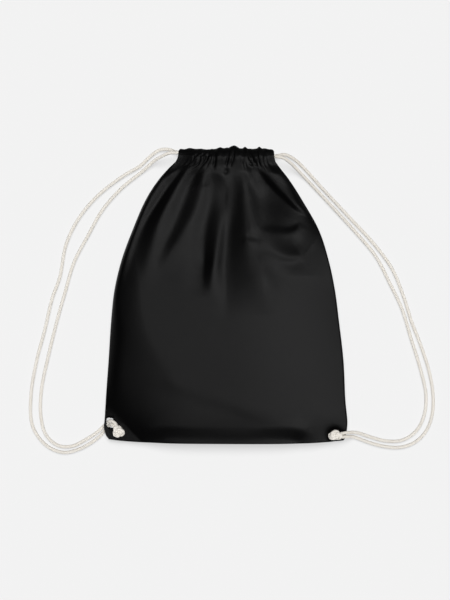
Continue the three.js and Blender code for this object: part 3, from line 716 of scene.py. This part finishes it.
# Pleats: place on the stitch line, slant, width, depth as a share of the puff, and run down the face.
PLEAT_COLUMNS = ("place", "slant", "width", "depth", "run")
PLEATS = dict(zip(PLEAT_COLUMNS, np.array([
    (-0.0640, 1.1, 0.0022, 0.22, 0.012),
    (-0.0570, 1.3, 0.0024, 0.26, 0.016),
    (-0.0490, 1.2, 0.0020, 0.22, 0.010),
    (-0.0410, 1.0, 0.0026, 0.30, 0.016),
    (-0.0345, 0.3, 0.0024, 0.26, 0.014),
    (-0.0265, 0.1, 0.0014, 0.12, 0.010),
    (-0.0170, -0.20, 0.0026, 0.32, 0.013),
    (0.0012, 0.10, 0.0020, 0.25, 0.006),
    (0.0082, 0.22, 0.0020, 0.25, 0.006),
    (0.0262, 0.05, 0.0014, 0.12, 0.010),
    (0.0302, -0.05, 0.0014, 0.12, 0.010),
    (0.0385, -0.50, 0.0030, 0.42, 0.004),
    (0.0460, -0.55, 0.0028, 0.42, 0.004),
    (0.0512, -0.05, 0.0016, 0.20, 0.008),
    (0.0600, 0.10, 0.0024, 0.22, 0.012),
    (0.0670, -0.10, 0.0034, 0.30, 0.012),
]).T))
PUCKER = {"place": (0.0008, 0.1880), "radius": 0.0036, "depth": 0.0019}
# A fold is a step in the cloth along a line, with rows of x, y, rise and half width in millimetres. The
# cloth rises from the line's right hand to its left hand, and the step fades over the reach on each hand.
# The share of the rise called dip is taken off on both hands, so that the right one sinks.
FOLDS = {
    "left_hem": {"right": 8, "left": 10, "dip": 0.5, "rows": (
        (-52, 209, 2.7, 3), (-67, 198, 3, 3), (-82, 189, 3, 3), (-94, 177, 0, 3),
    )},
    "left_outer": {"right": 9, "left": 18, "dip": 0.5, "rows": (
        (-55, 201, 3.3, 3.3), (-68, 182, 4.6, 4.2), (-82, 161, 6.5, 5.4), (-98, 135, 7.8, 6.5),
        (-112, 108, 7.5, 9), (-122, 78, 6, 11), (-128, 57, 4.3, 11), (-133, 40, 2.4, 11),
        (-141, 10, 0, 11),
    )},
    "left_inner": {"right": 16, "left": 18, "dip": 0.5, "rows": (
        (-31, 206, 3.9, 3.9), (-38, 188, 6, 6), (-46, 161, 8.8, 10), (-55, 135, 7.2, 10.6),
        (-68, 108, 4.7, 8.4), (-84, 78, 3.3, 6.6), (-94, 58, 1.6, 6), (-102, 40, 0, 6),
    )},
    "middle_left": {"right": 18, "left": 11, "dip": 0.6, "rows": (
        (-19, 189, 1.8, 4.5), (-11, 170, 6, 11), (-13, 135, 7.5, 12), (-19, 108, 6.5, 10.6),
        (-23, 78, 6.6, 8.7), (-25, 51, 7.6, 7), (-27, 34, 5.3, 6.6), (-29, 1, 0, 6),
    )},
    "middle_right": {"right": 11, "left": 24, "dip": 0.34, "rows": (
        (16, 189, 0, 9), (17, 171, 5.8, 12), (17, 152, 9, 14), (17, 130, 9.6, 14.5), (18, 108, 9.6, 15),
        (20, 78, 10, 17.5), (23, 47, 10.4, 22.5), (28, 17, 8.7, 25.5), (32, -32, 0, 27),
    )},
    "right_inner": {"right": 7, "left": 9, "dip": 0.5, "rows": (
        (35, 194, 1.3, 3.3), (41, 176, 1.7, 4), (46, 161, 1.1, 4.5), (49, 149, 0, 4.5),
    )},
    "right_shoulder": {"right": 16, "left": 34, "dip": 0.32, "rows": (
        (61, 188, 5.3, 16.5), (75, 161, 12.5, 24), (81, 130, 11.8, 25.5), (84, 103, 10.3, 27),
        (82, 76, 9.6, 30), (82, 52, 4.8, 30), (82, 31, 0, 30),
    )},
    "shoulder_slope": {"right": 26, "left": 20, "dip": 0.6, "rows": (
        (31, 130, 0, 24), (52, 132, -5.4, 30), (79, 130, -9.3, 33), (103, 124, -9.5, 32),
        (127, 112, -6.5, 27), (145, 100, 0, 21),
    )},
    "right_crease": {"right": 10, "left": 18, "dip": 0.0, "rows": (
        (51, 191, 1.4, 3), (64, 175, 2.8, 3.3), (78, 160, 3.8, 3.8), (93, 145, 4.2, 3.8),
        (106, 133, 4.6, 3.8), (118, 126, 3.8, 3.5), (128, 121, 0, 3),
    )},
    "upper_crescent": {"right": 12, "left": 12, "dip": 0.5, "rows": (
        (49, 102, 0, 4.5), (61, 102, -0.9, 5), (76, 101, -1.3, 5), (94, 100, -2, 4.5),
        (103, 102, -2.5, 4), (109, 108, -1.3, 3.3), (111, 112, 0, 3),
    )},
    "small_crescent": {"right": 8, "left": 8, "dip": 0.5, "rows": (
        (29, 91, 0, 3), (35, 87, -1.2, 3.3), (47, 84, -0.9, 3.6), (61, 81, 0, 3.6),
    )},
    "lower_crescent": {"right": 12, "left": 12, "dip": 0.5, "rows": (
        (58, 72, 0, 4.5), (69, 65, -1, 4.8), (84, 58, -1.9, 4.8), (97, 55, -2.2, 4.5),
        (108, 57, -1.7, 4), (115, 61, 0, 3.6),
    )},
    "low_crease": {"right": 20, "left": 20, "dip": 0.5, "rows": (
        (-99, -123, 0, 6), (-91, -133, 0.4, 6), (-49, -151, 0.5, 6), (-4, -165, 0.6, 6),
        (42, -182, 0.6, 6), (87, -195, 0, 6),
    )},
    "bottom_strip": {"right": 10, "left": 12, "dip": 0.5, "rows": (
        (-126, -218, 0, 6), (-112, -211, 2.2, 7), (-90, -205, 1.8, 7), (-38, -207, 0.8, 6.5),
        (22, -210, 0.6, 6), (70, -207, 1.6, 7), (98, -208, 2.8, 8), (113, -211, 4, 8.5),
        (124, -215, 1.5, 8), (138, -219, 0, 7),
    )},
}
MILLIMETRE = 0.001
FOLD_STEP = 0.006
STEP_POWER = 4


def pleat_cuts(u, y):
    """Each pleat's valley, from 0 to its depth: a bell about the pleat's place on the stitch line, which
    slants with the height."""
    place = across(u, FRONT_STITCH)[..., None]
    middle = PLEATS["place"] + PLEATS["slant"] * (np.asarray(y)[..., None] - FRONT_STITCH)
    return PLEATS["depth"] * np.exp(-(((place - middle) / PLEATS["width"]) ** 2))


def puff_share(u):
    """How far the gathered casing stands up: in full in the middle, and less and less to its two ends."""
    place = across(u, FRONT_STITCH)
    return smoothstep(*PUFF_ENDS["left"], place) * smoothstep(*PUFF_ENDS["right"], place)


def front_gather(u, y):
    """Gathers of the front casing: its puff on the ridges, less the pleats' valleys."""
    return np.clip(1 - pleat_cuts(u, y).sum(axis=-1), 0.0, 1.0) * puff_share(u)


def fold_relief(x, y):
    """Sum of the folds: across each line the cloth steps up by the fold's rise, with an even slope over
    twice its half width, from a dip on its right hand to a crest on its left hand, and both fade as a bell
    over the fold's reach on that hand."""
    place = np.stack([x, y], axis=-1)
    relief = np.zeros_like(x)
    for fold in FOLDS.values():
        rows, _ = smooth_line(np.array(fold["rows"]) * MILLIMETRE, FOLD_STEP)
        line, run = rows[:-1, :2], np.diff(rows[:, :2], axis=0)
        offset = place[..., None, :] - line
        share = np.clip((offset * run).sum(axis=-1) / (run * run).sum(axis=-1), 0.0, 1.0)
        away = offset - share[..., None] * run
        nearest = np.linalg.norm(away, axis=-1).argmin(axis=-1)[..., None]
        share = np.take_along_axis(share, nearest, axis=-1)
        away = np.take_along_axis(away, nearest[..., None], axis=-2)[..., 0, :]
        nearest = nearest[..., 0]
        side = np.sign(run[nearest, 0] * away[..., 1] - run[nearest, 1] * away[..., 0])
        distance = np.linalg.norm(away, axis=-1)
        size = rows[nearest, 2:] + share * (rows[nearest + 1, 2:] - rows[nearest, 2:])
        rise, width = size[..., 0], size[..., 1]
        step = distance / width / (1 + (distance / width) ** STEP_POWER) ** (1 / STEP_POWER)
        reach = np.where(side > 0, fold["left"], fold["right"]) * MILLIMETRE
        fade = np.exp(-((np.maximum(distance - width, 0.0) / reach) ** 2))
        relief += rise * ((1 + side * step) / 2 - fold["dip"]) * fade
    return relief


def fall(away, share, slope, roll):
    """How far the crown has fallen at a share of the way from its ridge to the seam: a part of it in a
    long slope, and the rest in a roll close to the seam."""
    return share * away**slope + (1 - share) * away**roll


def front_surface(u, station):
    """The face: raised over the hollow by a crown that falls from its ridges to the side seams, starts in
    a short roll at the bottom seam and is pressed down round the knots, with the folds, with the pleats'
    puff and valleys that fade below the stitch line, and with one small pucker."""
    x, y = across(u, station), sagged(station, u)
    at = {name: table_at(CROWNS, name, station) for name in CROWN_COLUMNS[1:]}
    west = np.clip((at["left_ridge"] - u) / (at["left_ridge"] + 1), 0.0, 1.0)
    east = np.clip((u - at["right_ridge"]) / (1 - at["right_ridge"]), 0.0, 1.0)
    crown = 1 - fall(west, at["left_share"], at["left_slope"], at["left_roll"])
    crown = crown - fall(east, at["right_share"], at["right_slope"], RIGHT_ROLL)
    crown = crown * np.clip((station - BOTTOM) / BOTTOM_ROLL, 0.0, 1.0)
    for corner in CORNERS:
        away = away_from(np.stack([x, y], axis=-1), corner["ends"])
        outside = np.maximum(np.linalg.norm(away, axis=-1) - corner["radius"], 0.0)
        clear = 1 - np.exp(-outside / corner["soft"])
        seat = CORNER_SHARE * np.clip(1 + away @ np.array(corner["inward"]) / corner["radius"], 0.0, 2.0)
        crown = crown * (seat + (1 - seat) * clear)
    edge = table_at(SECTIONS, "front", station)
    z = edge + (at["height"] - edge) * crown
    below = FRONT_STITCH - station
    z = z + fold_relief(x, y) * (1 - np.abs(u) ** FOLD_END) * smoothstep(0.0, FOLD_START, below)
    puff = np.clip(1 - below / PUFF_RUN, 0.0, 1.0) ** 2
    fade = np.clip(1 - below[..., None] / PLEATS["run"], 0.0, 1.0) ** 2
    valley = np.minimum((pleat_cuts(u, station) * fade).sum(axis=-1), 1.0)
    z = z + FRONT_RUFFLE["stitch"] * (puff - valley) * puff_share(u)
    from_pucker = np.hypot(x - PUCKER["place"][0], y - PUCKER["place"][1])
    z = z - PUCKER["depth"] * np.exp(-((from_pucker / PUCKER["radius"]) ** 2))
    return np.stack([x, y, z], axis=-1)


front_u = np.linspace(-1.0, 1.0, FRONT_COLUMNS + 1)
front_u = np.sort(np.concatenate([front_u, SEAM_COLUMNS, np.negative(SEAM_COLUMNS)]))
front_stations = np.concatenate([
    np.linspace(low, high, rows, endpoint=False)
    for (low, rows), (high, _) in zip(FRONT_STATIONS[:-1], FRONT_STATIONS[1:])
] + [[FRONT_STITCH]])
front_grid, front_map = panel_grid(
    front_surface, front_stations, front_u, front_gather, FRONT_TOP, FRONT_RUFFLE, FRONT_TUNNEL_Z, 1)
front_panel = cloth_panel("front_panel_cloth", front_grid, front_map, False, (SLOT_LEFT, HOLE_RIGHT))
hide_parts("front_panel")

# Knots. At each bottom corner both ends of a cord are tied together in an overhand knot that is too
# large for its opening in the cloth.
KNOT_STEPS = 220
KNOT_SIDES = 20
KNOT_RADIUS = 0.0025
KNOT_SPREAD = 0.0017
KNOT_RELIEF = 0.8
KNOTS = {
    "knot_left": {
        "place": (-0.1625, -0.2050, 0.0169),
        "heading": -np.pi / 4,
        "size": (0.0021, 0.0018, 0.0026),
    },
    "knot_right": {
        "place": (0.1665, -0.2105, 0.0166),
        "heading": np.pi,
        "size": (0.0025, 0.0014, 0.0026),
    },
}


def knot_line(size):
    """The middle line of an overhand knot: a closed curve of three lobes, the sum of a slow turn and of a
    double turn of twice its size the other way, that rises and falls three times."""
    t = np.linspace(0.0, 2 * np.pi, KNOT_STEPS)
    lobes = (np.sin(t) + 2 * np.sin(2 * t), np.cos(t) - 2 * np.cos(2 * t), -np.sin(3 * t))
    return np.stack(lobes, axis=-1) * size


def knot_strands(place, heading, size):
    """Two strands side by side along the knot's line, turned to its heading and set in its place."""
    line = knot_line(np.array(size))
    side, crest = line_frame(line, np.array((1.0, 0.0, 0.0)))
    turn = np.linspace(0.0, 2 * np.pi, KNOT_SIDES, endpoint=False)[None, :, None]
    ring = np.cos(turn) * side[:, None] + np.sin(turn) * crest[:, None]
    cos, sin = np.cos(heading), np.sin(heading)
    spin = np.array(((cos, sin, 0.0), (-sin, cos, 0.0), (0.0, 0.0, 1.0)))
    strands = [line[:, None] + way * KNOT_SPREAD * side[:, None] + KNOT_RADIUS * ring for way in (-1, 1)]
    return np.array(strands) @ spin + np.array(place)


knots = []
for knot_name, knot in KNOTS.items():
    strands = knot_strands(**knot)
    first = tube_faces(KNOT_STEPS, KNOT_SIDES)
    second = [[corner + KNOT_STEPS * KNOT_SIDES for corner in face] for face in first]
    tied = new_object(knot_name + "_cord", strands.reshape(-1, 3), first + second)
    height = tied.data.attributes.new("relief", "FLOAT", "POINT")
    height.data.foreach_set("value", np.full(len(tied.data.vertices), KNOT_RELIEF))
    tied.data.materials.append(cord_finish)
    knots.append(tied)
    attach(tied, "root")
    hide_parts(knot_name)
    cord_name = knot_name.replace("knot", "cord")
link_light(cord_lamp, [*cords.values(), *knots], "INCLUDE")
